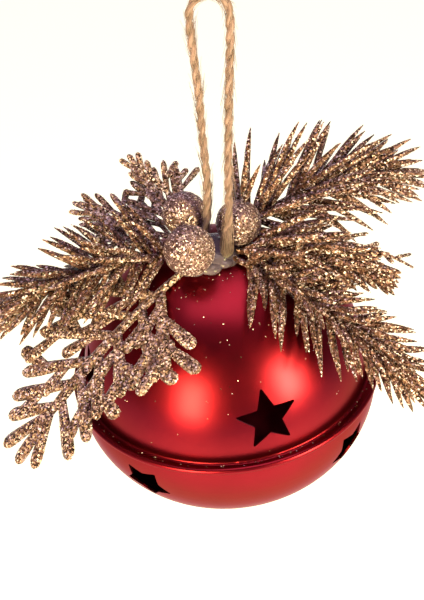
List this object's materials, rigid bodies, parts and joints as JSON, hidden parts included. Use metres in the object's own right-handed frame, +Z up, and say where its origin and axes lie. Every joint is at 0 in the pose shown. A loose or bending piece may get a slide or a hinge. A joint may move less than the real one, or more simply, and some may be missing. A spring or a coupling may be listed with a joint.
{
  "type": "jingle bell ornament",
  "caption": "Round two-shell jingle bell with star cut-outs, a loose ball inside, a cord loop, and berries and evergreen sprigs glued on top.",
  "frame": {"origin": "the hang point, inside the apex of the cord loop", "axes": "+Z up along the cord's pull; azimuth 0 looks along +Y at the bell's front, +X to its right"},
  "size_m": [0.1076, 0.08, 0.1486],
  "materials": {
    "red_lacquer": "satin metallic red lacquer on stamped steel",
    "ball_steel": "plain steel ball",
    "wire_steel": "galvanised wire",
    "clear_glue": "set hot glue, cloudy and glossy",
    "jute": "two-ply jute twine with loose fibres",
    "berry_glitter": "foam ball coated in copper glitter",
    "sprig_glitter": "moulded plastic foliage coated in champagne glitter"
  },
  "bodies": {
    "bell": {"berry_back": "berry_glitter", "berry_front": "berry_glitter", "berry_right": "berry_glitter", "berry_wire_back": "wire_steel", "berry_wire_front": "wire_steel", "berry_wire_right": "wire_steel", "bud_twig_right": "sprig_glitter", "cedar_spray_front": "sprig_glitter", "cedar_sprig_back": "sprig_glitter", "cedar_sprig_left": "sprig_glitter", "glue_mound": "clear_glue", "hanger_eye": "wire_steel", "hanging_cord": "jute", "lower_shell": "red_lacquer", "pine_spray_right": "sprig_glitter", "pine_sprig_left": "sprig_glitter", "pine_sprig_lower_right": "sprig_glitter", "pine_sprig_upper_right": "sprig_glitter", "upper_shell": "red_lacquer"},
    "ball": {"jingle_ball": "ball_steel"}
  },
  "joints": [
    {"name": "ball_roll", "type": "hinge", "parent": "bell", "child": "ball", "pos_m": [-0.0045, 0, -0.1025], "axis": [1, 0, 0], "range_deg": [-40, 40]}
  ]
}
